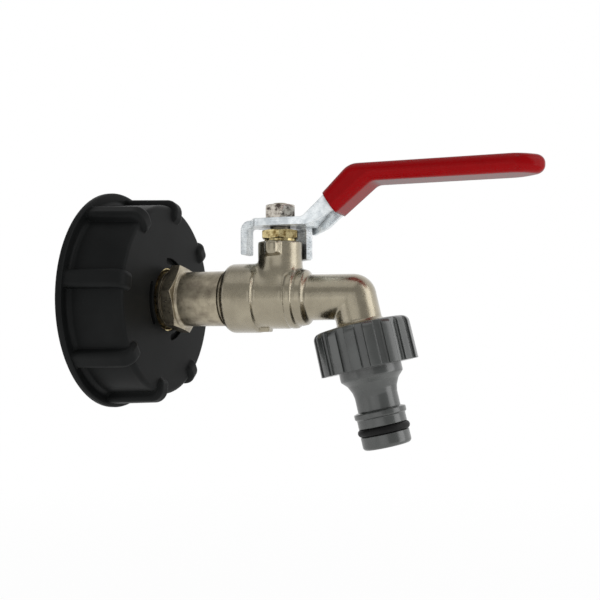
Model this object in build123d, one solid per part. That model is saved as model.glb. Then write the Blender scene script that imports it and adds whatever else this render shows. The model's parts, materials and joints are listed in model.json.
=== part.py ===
"""Tank outlet valve: screw cap, ball valve with lever and hose connector.

Millimetres. +X runs with the water from the cap to the spout, +Z up the stem.
The origin is the middle of the cap's open mouth. One STEP file per piece.
"""
import os
from math import cos, radians, sin

from build123d import *

# Screw cap
TANK_THREAD_R = 30.25
TANK_THREAD_LEN = 13.0
CAP_DEPTH = 22.0
CAP_WALL = 4.45
CAP_WALL_TAPER = 0.6
CAP_FACE_T = 3.0
CAP_FOOT_FILLET = 1.6
CAP_EDGE_ROUND = 1.7
FLANGE_W = 4.6
FLANGE_T = 2.3
FLANGE_ROUND = 0.7
RIB_COUNT = 8
RIB_PHASE = 9.7
RIB_W = 6.4
RIB_H = 3.4
RIB_TAPER = 1.1
RIB_TURN_R = 4.5
RIB_EDGE_ROUND = 1.8
NUB_H = 1.4
NUB_LEN = 6.7
NUB_SLOPE = 2.4
NUB_TURN_R = 2.2
NUB_ROOT = 2.2
BOSS_WALL = 2.4
BOSS_SET_BACK = 0.2
POCKET_COUNT = 3
POCKET_PHASE = 23.0
POCKET_SPAN = 56.0
POCKET_OFFSET = 2.4
POCKET_W = 2.4
POCKET_DEPTH = 1.5

# Flat seal in the cap
SEAL_LIP = 0.95
SEAL_HOLE_GAP = 3.5
SEAL_T = 3.0
SEAL_CLEARANCE = 0.05

# Brass insert moulded into the cap
INSERT_WALL = 1.1
INSERT_FLANGE_W = 3.16
INSERT_FLANGE_T = 3.0
INSERT_FLANGE_IN = 3.4
INSERT_SINK = 0.5
INSERT_CHAMFER = 0.6
MOULD_GAP = 0.02

# Tailpiece
THREAD_FIT = 0.04
TAIL_THREAD_R = 10.3
TAIL_THREAD_LEN = 9.8
TAIL_CHAMFER = 0.7
TAIL_RELIEF = 0.8
TAIL_RELIEF_LEN = 1.4
HEX_GAP = 2.6
HEX_WALL = 1.25
HEX_LEN = 4.2
HEX_CHAMFER = 0.55
HEX_TURN = 18.3
BARREL_R = 9.75
BARREL_LEN = 16.1
BARREL_FOOT_FILLET = 1.0
BARREL_END_ROUND = 0.4
BARREL_STEP = 0.75
INLET_BORE_R = 6.8
SEAM_GAP = 1.2

# Valve body casting
END_WALL = 3.11
END_LEN = 11.8
END_ROUND = 2.4
STEP_LEN = 0.7
STEM_AT = 18.8
CHAMBER_GAP = 0.7
CHAMBER_WALL = 2.05
GROOVE_DEPTH = 0.5
GROOVE_AT = 3.8
GROOVE_W = 1.1
GROOVE_SIDE = 0.4
RING_GROOVE_DEPTH = 0.5
RING_STEP = 0.85
RING_LEN = 3.4
OUTLET_BORE_R = 5.4
TUBE_WALL = 2.35
ELBOW_AT = 26.3
SPOUT_TILT = 13.0
SHOULDER_AT = 9.5
SHOULDER_CONE = 1.2
SPOUT_THREAD_R = 13.1
SPOUT_THREAD_LEN = 10.0
NECK_WALL = 2.11
NECK_PLAIN = 8.75
NECK_ROUND = 0.5
NECK_FLARE = 2.2
NECK_FOOT_Z = 4.0
NECK_FILLET = 9.0
LUG_REACH = 2.75
LUG_TIP_W = 3.5
LUG_BASE_W = 5.8
LUG_H = 5.0
LUG_ROUND = 0.8
LUG_FOOT_R = 0.7
LUG_SINK = 0.8
GATE_W = 4.6
GATE_LEN = 3.4
GATE_H = 1.1

# Ball, seats
BALL_R = 8.0
PORT_R = 5.0
SEAT_HOLE_GAP = 0.3
SEAT_NEAR = 3.6
SEAT_FAR = 7.4
SEAT_CLEARANCE = 0.05
BALL_CLEARANCE = 0.03
SLOT_W = 3.0
SLOT_DEPTH = 2.1

# Stem, packing and gland
STEM_R = 3.5
STEM_FIT = 0.05
TANG_CLEARANCE = 0.05
TANG_END_GAP = 0.1
TANG_SEAT_GAP = 0.3
COLLAR_W = 2.1
COLLAR_GAP = 0.3
COLLAR_T = 1.4
COLLAR_FIT = 0.15
AXIAL_FIT = 0.05
WASHER_T = 0.7
LAND_LEN = 3.2
PACKING_T = 2.9
PACKING_W = 2.05
GLAND_SCREW_LEN = 2.05
GLAND_SHOW = 1.0
GLAND_LIP = 0.4
GLAND_HEX_H = 3.0
GLAND_CHAMFER = 0.35
GLAND_TURN = 45.5
STUD_STEP = 0.55
STUD_FLAT = 2.25
STUD_CHAMFER = 0.6
STUD_SHOW = 0.65

# Lever
PLATE_GAP = 1.05
PLATE_T = 2.55
PLATE_HALF_W = 9.1
PLATE_SIDE_X = 6.4
PLATE_CORNER_R = 2.5
PLATE_WAIST_R = 5.0
ARM_HALF_W = 6.9
ARM_ROOT_X = 17.0
ARM_ROOT_R = 8.0
ARM_BEND_X = 10.6
ARM_RISE = 16.25
ARM_BEND_R = 2.5
ARM_LEVEL_R = 6.0
ARM_END_X = 86.0
ARM_END_TAPER = 4.6
ARM_DEPTH = 4.0
ARM_SHEET = 2.2
ROOT_DROP = 2.5
ROOT_BACK = -1.0
ROOT_LEN = 6.3
ROOT_RISE = 2.4
ROOT_SLOPE = 1.2
ROOT_CUT = 3.0
UNDER_R = 3.0
TRIM_START = 2.2
TRIM_LEN = 12.8
TRIM_RISE = 7.6
HOLLOW_BACK = 6.0
HOLLOW_STOP = 3.5
HOLLOW_BEND_R = 2.0
HOLLOW_LEVEL_R = 4.0
TAB_T = 2.3
TAB_BEND_R = 1.0
TAB_END_R = 0.7
TAB_OVERLAP = 3.5
TAB_ANGLE = 45.0
REAR_TAB_CLEAR = 0.8
REAR_TAB_REACH = 1.5
REAR_TAB_W = 6.0
REAR_TAB_DROP = 4.25
SIDE_TAB_CLEAR = 0.4
SIDE_TAB_W = 8.0
SIDE_TAB_DROP = 6.25
HOLE_CLEARANCE = 0.05

# Grip
GRIP_SKIN = 1.1
GRIP_START_AT = 6.6
GRIP_FOOT = 4.6
GRIP_TIP = 3.3
GRIP_POINT = 6.5
GRIP_TIP_HALF_W = 2.2
GRIP_BEND_R = 7.0
GRIP_UNDER_R = 4.0
GRIP_POINT_R = 12.0
GRIP_TIP_R = 4.7
GRIP_ROUND = 2.85

# Lever nut
NUT_WALL = 2.05
NUT_H = 5.2
NUT_CHAMFER = 1.1
NUT_TURN = -9.9

# Tap connector
CONN_FIT = 0.05
CONN_WALL = 3.3
CONN_FLARE = 0.1
CONN_GAP = 0.3
CONN_FLOOR_T = 1.8
CONN_TOP_ROUND = 2.4
FLUTE_COUNT = 16
FLUTE_W = 3.0
FLUTE_DEPTH = 1.2
FLUTE_CHAMFER = 0.4
FLUTE_PHASE = 11.1
CONN_WASHER_T = 2.0
CONN_WASHER_HOLE_R = 8.0
CONN_WASHER_CLEARANCE = 0.2
NIPPLE_BORE_R = 4.8
NIPPLE_WALL = 2.4
NIPPLE_COLLAR = 3.4
NIPPLE_COLLAR_LEN = 2.9
NIPPLE_STEP = 1.9
FLARE_LEN = 6.2
FLARE_FOOT = 0.35
WAIST_LEN = 4.8
RIDGE_H = 1.55
RIDGE_W = 2.6
RIDGE_DROP = 0.6
LAND_OUT_LEN = 2.8
RING_BAR_R = 1.35
RING_STAND = 0.65
RING_GROOVE_GAP = 0.05
TIP_STEP = 0.05
TIP_LEN = 4.4
TIP_ROUND = 1.2

# Radii that follow from the sizes above
CAP_WALL_R = TANK_THREAD_R + CAP_WALL
CAP_FRONT_R = CAP_WALL_R - CAP_WALL_TAPER
FLANGE_R = CAP_WALL_R + FLANGE_W
RIB_R = CAP_WALL_R + RIB_H
NUB_END_R = CAP_FRONT_R - NUB_LEN
INSERT_BORE_R = TAIL_THREAD_R + THREAD_FIT
INSERT_R = INSERT_BORE_R + INSERT_WALL
INSERT_FLANGE_R = INSERT_R + INSERT_FLANGE_W
BOSS_R = INSERT_FLANGE_R + BOSS_WALL
POCKET_PITCH_R = INSERT_R + POCKET_OFFSET
SEAL_R = TANK_THREAD_R - SEAL_LIP
SEAL_HOLE_R = BOSS_R + SEAL_HOLE_GAP
BODY_THREAD_R = BARREL_R - BARREL_STEP
HEX_FLAT_R = BARREL_R + HEX_WALL
END_R = BODY_THREAD_R + THREAD_FIT + END_WALL
CHAMBER_R = BALL_R + CHAMBER_GAP
CHAMBER_OUT_R = CHAMBER_R + CHAMBER_WALL
RING_R = CHAMBER_OUT_R - RING_STEP
TUBE_R = OUTLET_BORE_R + TUBE_WALL
SEAT_HOLE_R = PORT_R + SEAT_HOLE_GAP
COLLAR_R = STEM_R + COLLAR_W
TANG_R = SEAT_NEAR - TANG_SEAT_GAP
GLAND_THREAD_R = STEM_R + STEM_FIT + PACKING_W
GLAND_FLAT_R = GLAND_THREAD_R + GLAND_LIP
NECK_R = GLAND_THREAD_R + THREAD_FIT + NECK_WALL
LUG_R = NECK_R + LUG_REACH
STUD_R = STEM_R - STUD_STEP
NUT_FLAT_R = STUD_R + NUT_WALL
CONN_THREAD_R = SPOUT_THREAD_R + CONN_FIT
CONN_R = CONN_THREAD_R + CONN_WALL
WAIST_R = NIPPLE_BORE_R + NIPPLE_WALL
COLLAR_OUT_R = WAIST_R + NIPPLE_COLLAR
RIDGE_R = WAIST_R + RIDGE_H
LAND_R = RIDGE_R - RIDGE_DROP
RING_OUT_R = LAND_R + RING_STAND
TIP_R = LAND_R + TIP_STEP

# Places along the flow
SEAL_SEAT_X = CAP_DEPTH - CAP_FACE_T
INSERT_FRONT_X = CAP_DEPTH - INSERT_SINK
INSERT_BACK_X = TANK_THREAD_LEN + BOSS_SET_BACK
HEX_BACK_X = CAP_DEPTH + HEX_GAP
HEX_FRONT_X = HEX_BACK_X + HEX_LEN
BARREL_END_X = HEX_FRONT_X + BARREL_LEN
BODY_X = BARREL_END_X + SEAM_GAP
STEP_X = BODY_X + END_LEN
STEM_X = BODY_X + STEM_AT
SEAT_IN_X = STEM_X - SEAT_FAR
SEAT_OUT_X = STEM_X + SEAT_FAR
ELBOW_X = STEM_X + ELBOW_AT

# Heights along the stem
SLOT_FLOOR = BALL_R - SLOT_DEPTH
COLLAR_BOTTOM = CHAMBER_R + COLLAR_GAP
COLLAR_TOP = COLLAR_BOTTOM + COLLAR_T
LAND_Z = COLLAR_TOP + WASHER_T + 2 * AXIAL_FIT
PACKING_Z = LAND_Z + LAND_LEN
GLAND_Z = PACKING_Z + PACKING_T
NECK_TOP = GLAND_Z + GLAND_SCREW_LEN
NECK_FLARE_Z = NECK_TOP - NECK_PLAIN
GLAND_HEX_Z = NECK_TOP + GLAND_SHOW
PLATE_Z = GLAND_HEX_Z + GLAND_HEX_H + PLATE_GAP
PLATE_TOP = PLATE_Z + PLATE_T
NUT_TOP = PLATE_TOP + NUT_H
STUD_TOP = NUT_TOP + STUD_SHOW
ARM_TOP_Z = PLATE_TOP + ARM_RISE
REAR_TAB_BOTTOM = NECK_TOP - REAR_TAB_DROP
SIDE_TAB_BOTTOM = NECK_TOP - SIDE_TAB_DROP

# Distances from the stem along the lever
REAR_TAB_IN = LUG_R + REAR_TAB_CLEAR
SIDE_TAB_IN = NECK_R + SIDE_TAB_CLEAR
PLATE_BACK = REAR_TAB_IN - REAR_TAB_REACH
GRIP_START_X = ARM_BEND_X + GRIP_START_AT
GRIP_END_X = ARM_END_X + GRIP_TIP

# Distances along the spout axis from the elbow
THREAD_END = SHOULDER_AT + SHOULDER_CONE + SPOUT_THREAD_LEN
CONN_TOP = SHOULDER_AT + CONN_GAP
CONN_FLOOR = THREAD_END + CONN_WASHER_T
CONN_BOTTOM = CONN_FLOOR + CONN_FLOOR_T
NIPPLE_COLLAR_END = CONN_BOTTOM + NIPPLE_COLLAR_LEN
WAIST_START = NIPPLE_COLLAR_END + FLARE_LEN
RIDGE_START = WAIST_START + WAIST_LEN
LAND_START = RIDGE_START + RIDGE_W
GROOVE_START = LAND_START + LAND_OUT_LEN
RING_AT = GROOVE_START + RING_GROOVE_GAP + RING_BAR_R
GROOVE_END = RING_AT + RING_BAR_R + RING_GROOVE_GAP
TIP_END = GROOVE_END + TIP_LEN

# Longer or wider than anything it cuts or trims
PAST = 2 * (ARM_END_X + GRIP_TIP)

FLOW = Plane(origin=(0, 0, 0), x_dir=(0, 0, 1), z_dir=(1, 0, 0))
SPOUT = Plane(
    origin=(ELBOW_X, 0, 0),
    x_dir=(cos(radians(SPOUT_TILT)), 0, sin(radians(SPOUT_TILT))),
    z_dir=(sin(radians(SPOUT_TILT)), 0, -cos(radians(SPOUT_TILT))),
)
STEM = Plane(origin=(STEM_X, 0, 0))


def outline(points, rounds=()):
    """Closed outline in the XZ plane; rounds lists ((x, z), radius) corners."""
    face = make_face(Plane.XZ * Polyline(*points, close=True))
    for (x, z), radius in rounds:
        corner = face.vertices().sort_by_distance((x, 0, z))[0]
        face = fillet(corner, radius)
    return face


def turned(points, rounds=()):
    """Solid of revolution about Z from (radius, height) points."""
    return revolve(outline(points, rounds), Axis.Z)


def slab(points, rounds, half_width):
    """Side outline in XZ given a width along Y."""
    return extrude(outline(points, rounds), half_width, both=True)


def plan(points, rounds, bottom, top):
    """Plan outline in XY between two heights."""
    face = make_face(Polyline(*points, close=True))
    for (x, y), radius in rounds:
        corner = face.vertices().sort_by_distance((x, y, 0))[0]
        face = fillet(corner, radius)
    return Pos(0, 0, bottom) * extrude(face, top - bottom)


def rod(radius, start, end):
    """Plain cylinder about Z between two heights."""
    return Pos(0, 0, start) * extrude(Circle(radius), end - start)


def hexagon(flat_r, start, end, turn, chamfer_start, chamfer_end):
    """Hexagonal prism about Z with its corners turned off at the ends."""
    corner_r = flat_r / cos(radians(30))
    prism = Pos(0, 0, start) * extrude(RegularPolygon(corner_r, 6, rotation=turn), end - start)
    points = [(0, start), (flat_r, start), (corner_r, start + chamfer_start)]
    points += [(corner_r, end - chamfer_end), (flat_r, end), (0, end)]
    if chamfer_start == 0:
        points[1] = (corner_r, start)
        del points[2]
    return prism & turned(points)


def cap_rib():
    """One grip rib that turns over the front edge onto the face."""
    top = CAP_DEPTH + NUB_H
    root_r = CAP_WALL_R - CAP_WALL / 2
    root_x = CAP_DEPTH - NUB_ROOT
    end_r = RIB_R - RIB_TAPER
    nub_r = NUB_END_R + NUB_SLOPE
    points = [
        (root_r, FLANGE_T / 2), (RIB_R, FLANGE_T / 2), (end_r, top), (nub_r, top),
        (NUB_END_R, CAP_DEPTH - NUB_ROOT / 2), (NUB_END_R, root_x), (root_r, root_x),
    ]
    rounds = [((end_r, top), RIB_TURN_R), ((nub_r, top), NUB_TURN_R)]
    rib = slab(points, rounds, RIB_W / 2)
    sides = rib.edges().filter_by(lambda e: abs(abs(e.center().Y) - RIB_W / 2) < 0.01)
    middle_r = (CAP_WALL_R + end_r) / 2
    outer = [e for e in sides if e.center().X > middle_r or e.center().Z > CAP_DEPTH]
    return fillet(outer, RIB_EDGE_ROUND)


def tank_cap():
    """Cap shell turned, then ribs, insert hole and face pockets."""
    seal_r = SEAL_R + SEAL_CLEARANCE
    hole_r = INSERT_R + MOULD_GAP
    ring_r = INSERT_FLANGE_R + MOULD_GAP
    ring_front = INSERT_FRONT_X - INSERT_FLANGE_IN + MOULD_GAP
    ring_back = ring_front - INSERT_FLANGE_T - 2 * MOULD_GAP
    shell = turned(
        [
            (TANK_THREAD_R, 0), (FLANGE_R, 0), (FLANGE_R, FLANGE_T), (CAP_WALL_R, FLANGE_T),
            (CAP_FRONT_R, CAP_DEPTH), (hole_r, CAP_DEPTH), (hole_r, ring_front),
            (ring_r, ring_front), (ring_r, ring_back), (hole_r, ring_back),
            (hole_r, INSERT_BACK_X), (BOSS_R, INSERT_BACK_X), (BOSS_R, SEAL_SEAT_X),
            (seal_r, SEAL_SEAT_X), (seal_r, TANK_THREAD_LEN), (TANK_THREAD_R, TANK_THREAD_LEN),
        ],
        [
            ((FLANGE_R, 0), FLANGE_ROUND), ((FLANGE_R, FLANGE_T), FLANGE_ROUND),
            ((CAP_WALL_R, FLANGE_T), CAP_FOOT_FILLET), ((CAP_FRONT_R, CAP_DEPTH), CAP_EDGE_ROUND),
        ],
    )
    # The cap's local X is world +Z, so a turn by -angle runs from up towards the far side.
    for k in range(RIB_COUNT):
        shell += Rot(0, 0, -RIB_PHASE - k * 360 / RIB_COUNT) * cap_rib()
    slot = SlotArc(CenterArc((0, 0), POCKET_PITCH_R, -POCKET_SPAN / 2, POCKET_SPAN), POCKET_W)
    pocket = extrude(Pos(0, 0, CAP_DEPTH - POCKET_DEPTH) * slot, 2 * POCKET_DEPTH)
    for k in range(POCKET_COUNT):
        shell -= Rot(0, 0, -POCKET_PHASE - k * 360 / POCKET_COUNT) * pocket
    return FLOW * shell


def cap_seal():
    ring = rod(SEAL_R, SEAL_SEAT_X - SEAL_T, SEAL_SEAT_X) - rod(SEAL_HOLE_R, 0, CAP_DEPTH)
    return FLOW * ring


def brass_insert():
    """Threaded sleeve with a ring that the cap is moulded around."""
    ring_front = INSERT_FRONT_X - INSERT_FLANGE_IN
    ring_back = ring_front - INSERT_FLANGE_T
    sleeve = turned(
        [
            (INSERT_BORE_R, INSERT_BACK_X), (INSERT_R, INSERT_BACK_X), (INSERT_R, ring_back),
            (INSERT_FLANGE_R, ring_back), (INSERT_FLANGE_R, ring_front), (INSERT_R, ring_front),
            (INSERT_R, INSERT_FRONT_X), (INSERT_BORE_R + INSERT_CHAMFER, INSERT_FRONT_X),
            (INSERT_BORE_R, INSERT_FRONT_X - INSERT_CHAMFER),
        ]
    )
    return FLOW * sleeve


def inlet_tailpiece():
    """Thread, hexagon, smooth barrel and the thread that holds the inlet seat."""
    thread_end = HEX_BACK_X - TAIL_RELIEF_LEN
    tail_start = thread_end - TAIL_THREAD_LEN
    relief_r = TAIL_THREAD_R - TAIL_RELIEF
    core_r = HEX_FLAT_R - HEX_WALL / 20
    hex_middle = (HEX_BACK_X + HEX_FRONT_X) / 2
    piece = turned(
        [
            (INLET_BORE_R, tail_start), (TAIL_THREAD_R - TAIL_CHAMFER, tail_start),
            (TAIL_THREAD_R, tail_start + TAIL_CHAMFER), (TAIL_THREAD_R, thread_end),
            (relief_r, thread_end), (relief_r, hex_middle), (core_r, hex_middle),
            (core_r, HEX_FRONT_X), (BARREL_R, HEX_FRONT_X), (BARREL_R, BARREL_END_X),
            (BODY_THREAD_R, BARREL_END_X), (BODY_THREAD_R, SEAT_IN_X), (INLET_BORE_R, SEAT_IN_X),
        ],
        [
            ((BARREL_R, HEX_FRONT_X), BARREL_FOOT_FILLET),
            ((BARREL_R, BARREL_END_X), BARREL_END_ROUND),
        ],
    )
    hexa = hexagon(HEX_FLAT_R, HEX_BACK_X, HEX_FRONT_X, HEX_TURN, HEX_CHAMFER, HEX_CHAMFER)
    piece += hexa - rod(BARREL_R, HEX_BACK_X, HEX_FRONT_X)
    piece -= rod(INLET_BORE_R, tail_start - TAIL_CHAMFER, SEAT_IN_X + TAIL_CHAMFER)
    return FLOW * piece


def body_outside():
    """Turned outside of the casting with its two rings, neck and elbow."""
    groove = SEAT_OUT_X - GROOVE_AT
    groove_r = CHAMBER_OUT_R - GROOVE_DEPTH
    ring_end = SEAT_OUT_X + RING_LEN
    main = turned(
        [
            (0, BODY_X), (END_R, BODY_X), (END_R, STEP_X), (CHAMBER_OUT_R, STEP_X + STEP_LEN),
            (CHAMBER_OUT_R, groove), (groove_r, groove + GROOVE_SIDE),
            (groove_r, groove + GROOVE_W - GROOVE_SIDE), (CHAMBER_OUT_R, groove + GROOVE_W),
            (CHAMBER_OUT_R - 0.1, SEAT_OUT_X - 0.8), (RING_R - RING_GROOVE_DEPTH, SEAT_OUT_X + 0.1),
            (RING_R, SEAT_OUT_X + 0.6), (RING_R - 0.4, ring_end - 0.7),
            (TUBE_R + 0.15, ring_end + 0.5), (TUBE_R, ELBOW_X), (0, ELBOW_X),
        ],
        [
            ((END_R, BODY_X), END_ROUND), ((END_R, STEP_X), 0.8),
            ((CHAMBER_OUT_R - 0.1, SEAT_OUT_X - 0.8), 0.7),
            ((RING_R - 0.4, ring_end - 0.7), 0.9), ((TUBE_R + 0.15, ring_end + 0.5), 1.2),
        ],
    )
    outside = FLOW * main
    neck = turned(
        [
            (0, NECK_FOOT_Z), (NECK_R + NECK_FLARE, NECK_FOOT_Z), (NECK_R, NECK_FLARE_Z),
            (NECK_R, NECK_TOP), (0, NECK_TOP),
        ],
        [((NECK_R, NECK_FLARE_Z), NECK_FILLET), ((NECK_R, NECK_TOP), NECK_ROUND)],
    )
    outside += STEM * neck
    spout = turned(
        [
            (0, 0), (TUBE_R, 0), (TUBE_R, SHOULDER_AT - 0.8), (TUBE_R + 1.2, SHOULDER_AT),
            (SPOUT_THREAD_R - SHOULDER_CONE, SHOULDER_AT),
            (SPOUT_THREAD_R, SHOULDER_AT + SHOULDER_CONE), (SPOUT_THREAD_R, THREAD_END),
            (0, THREAD_END),
        ]
    )
    outside += Pos(ELBOW_X, 0, 0) * Sphere(TUBE_R)
    outside += SPOUT * spout
    return outside


def stop_lug():
    """Drafted lug on the -Y side of the neck, rounded at its foot."""
    root = LUG_SINK - NECK_R
    points = [
        (-LUG_BASE_W / 2, root), (-LUG_BASE_W / 2, -NECK_R), (-LUG_TIP_W / 2, -LUG_R),
        (LUG_TIP_W / 2, -LUG_R), (LUG_BASE_W / 2, -NECK_R), (LUG_BASE_W / 2, root),
    ]
    rounds = [((-LUG_TIP_W / 2, -LUG_R), LUG_ROUND), ((LUG_TIP_W / 2, -LUG_R), LUG_ROUND)]
    lug = plan(points, rounds, NECK_TOP - LUG_H, NECK_TOP)
    foot = lug.edges().filter_by(lambda e: e.center().Z < NECK_TOP - LUG_H + 0.01)
    return fillet([e for e in foot if e.center().Y < -NECK_R - LUG_REACH / 20], LUG_FOOT_R)


def valve_body():
    outside = body_outside()
    for turn in (0, 180):
        outside += STEM * Rot(0, 0, turn) * stop_lug()
    gate = Box(GATE_LEN, GATE_W, 2 * GATE_H, align=(Align.MIN, Align.CENTER, Align.MIN))
    outside += Pos(STEP_X, 0, -CHAMBER_OUT_R - GATE_H) * gate
    along = rod(BODY_THREAD_R + THREAD_FIT, BODY_X - SEAM_GAP, SEAT_IN_X)
    along += rod(CHAMBER_R, SEAT_IN_X, SEAT_OUT_X)
    along += rod(OUTLET_BORE_R, SEAT_OUT_X, ELBOW_X)
    inside = FLOW * along
    inside += Pos(ELBOW_X, 0, 0) * Sphere(OUTLET_BORE_R)
    inside += SPOUT * rod(OUTLET_BORE_R, 0, THREAD_END + TUBE_WALL)
    up = rod(COLLAR_R + COLLAR_FIT, 0, LAND_Z)
    up += rod(STEM_R + STEM_FIT, LAND_Z, PACKING_Z)
    up += rod(GLAND_THREAD_R + THREAD_FIT, PACKING_Z, NECK_TOP + GLAND_SHOW)
    inside += STEM * up
    return outside - inside


def ball():
    body = Sphere(BALL_R) - Rot(0, 90, 0) * Cylinder(PORT_R, 3 * BALL_R)
    slot = Box(SLOT_W, 3 * BALL_R, BALL_R, align=(Align.CENTER, Align.CENTER, Align.MIN))
    body -= Pos(0, 0, SLOT_FLOOR) * slot
    return STEM * body


def seat(side):
    """Seat ring on one side of the ball; side is -1 for the inlet, +1 for the outlet."""
    ring = turned(
        [
            (SEAT_HOLE_R, SEAT_NEAR), (CHAMBER_R - SEAT_CLEARANCE, SEAT_NEAR),
            (CHAMBER_R - SEAT_CLEARANCE, SEAT_FAR), (SEAT_HOLE_R, SEAT_FAR),
        ]
    )
    ring -= Sphere(BALL_R + BALL_CLEARANCE)
    facing = Plane(origin=(STEM_X, 0, 0), x_dir=(0, 0, 1), z_dir=(side, 0, 0))
    return facing * ring


def stem():
    """Tang in the ball slot, collar, shaft, then a flatted and threaded stud."""
    tang_w = SLOT_W - 2 * TANG_CLEARANCE
    tang_bottom = SLOT_FLOOR + TANG_END_GAP
    tang = Box(tang_w, 2 * TANG_R, COLLAR_BOTTOM - tang_bottom)
    tang = Pos(0, 0, (COLLAR_BOTTOM + tang_bottom) / 2) * tang & rod(TANG_R, 0, COLLAR_BOTTOM)
    shaft = turned(
        [
            (0, COLLAR_BOTTOM), (COLLAR_R, COLLAR_BOTTOM), (COLLAR_R, COLLAR_TOP),
            (STEM_R, COLLAR_TOP), (STEM_R, PLATE_Z), (0, PLATE_Z),
        ]
    )
    stud = turned(
        [
            (0, PLATE_Z), (STUD_R, PLATE_Z), (STUD_R, STUD_TOP - STUD_CHAMFER),
            (STUD_R - STUD_CHAMFER, STUD_TOP), (0, STUD_TOP),
        ]
    )
    stud &= Pos(0, 0, PLATE_Z) * Box(
        3 * STUD_R, 2 * STUD_FLAT, STUD_TOP, align=(Align.CENTER, Align.CENTER, Align.MIN)
    )
    return STEM * (tang + shaft + stud)


def stem_thrust_washer():
    start = COLLAR_TOP + AXIAL_FIT
    ring = rod(COLLAR_R, start, start + WASHER_T) - rod(STEM_R + STEM_FIT, 0, NECK_TOP)
    return STEM * ring


def stem_packing():
    ring = rod(GLAND_THREAD_R, PACKING_Z, GLAND_Z) - rod(STEM_R + STEM_FIT, 0, NECK_TOP)
    return STEM * ring


def gland_nut():
    """Hollow screw that presses the packing, with its hexagon above the neck."""
    top = GLAND_HEX_Z + GLAND_HEX_H
    screw = rod(GLAND_THREAD_R, GLAND_Z, GLAND_HEX_Z)
    screw += hexagon(GLAND_FLAT_R, GLAND_HEX_Z, top, GLAND_TURN, GLAND_CHAMFER, GLAND_CHAMFER)
    return STEM * (screw - rod(STEM_R + STEM_FIT, 0, PLATE_TOP))


def lever_under():
    """Corners of the arm's lower edge: root, turn and start of the level part."""
    root = (ARM_BEND_X + ROOT_BACK, PLATE_Z - ROOT_DROP)
    turn = (root[0] + ROOT_LEN, root[1] + ROOT_RISE)
    low_z = ARM_TOP_Z - ARM_DEPTH
    level = (turn[0] + (low_z - turn[1]) * ROOT_SLOPE, low_z)
    return root, turn, level


def lever_sides():
    """Side outline of the folded sheet: plate, bend, sloping arm, level arm."""
    root, turn, level = lever_under()
    bend_top = (ARM_BEND_X + ARM_RISE, ARM_TOP_Z)
    points = [
        (-PLATE_BACK, PLATE_TOP), (ARM_BEND_X, PLATE_TOP), bend_top, (ARM_END_X, ARM_TOP_Z),
        (ARM_END_X, level[1]), level, turn, root, (root[0] - ROOT_CUT, PLATE_Z),
        (-PLATE_BACK, PLATE_Z),
    ]
    rounds = [
        ((ARM_BEND_X, PLATE_TOP), ARM_BEND_R), (bend_top, ARM_LEVEL_R), (level, UNDER_R),
        (turn, UNDER_R), (root, UNDER_R / 2),
    ]
    return points, rounds


def lever_plan(inset):
    """Plan outline, drawn in by inset: wide plate, side tab corner, narrow arm."""
    plate = PLATE_HALF_W - inset
    arm = ARM_HALF_W - inset
    end = ARM_END_X - inset
    taper = ARM_END_TAPER
    corner = (SIDE_TAB_IN + TAB_T) / 2 ** 0.5
    tab_x = corner - SIDE_TAB_W * 0.3
    tab_y = corner + SIDE_TAB_W * 0.39 - inset
    points = [
        (-PLATE_BACK, -REAR_TAB_W / 2), (-PLATE_SIDE_X, -plate), (PLATE_SIDE_X, -plate),
        (ARM_ROOT_X, -arm), (end - taper, -arm), (end, taper - arm), (end, arm - taper),
        (end - taper, arm), (ARM_ROOT_X, arm), (tab_x, tab_y), (SIDE_TAB_W / 3, tab_y),
        (-PLATE_SIDE_X, plate), (-PLATE_BACK, REAR_TAB_W / 2),
    ]
    rounds = [
        ((-PLATE_SIDE_X, -plate), PLATE_CORNER_R), ((PLATE_SIDE_X, -plate), PLATE_WAIST_R),
        ((ARM_ROOT_X, -arm), ARM_ROOT_R), ((ARM_ROOT_X, arm), PLATE_WAIST_R),
        ((-PLATE_SIDE_X, plate), PLATE_CORNER_R),
    ]
    return points, rounds


def bent_tab(inner, bottom, width):
    """Tab folded down from the plate, drawn on +X at its inner distance."""
    outer = inner + TAB_T
    start = inner - TAB_OVERLAP
    points = [
        (start, PLATE_TOP), (outer, PLATE_TOP), (outer, bottom), (inner, bottom),
        (inner, PLATE_Z), (start, PLATE_Z),
    ]
    rounds = [
        ((outer, PLATE_TOP), TAB_BEND_R + TAB_T), ((outer, bottom), TAB_END_R),
        ((inner, bottom), TAB_END_R), ((inner, PLATE_Z), TAB_BEND_R),
    ]
    return slab(points, rounds, width / 2)


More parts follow.
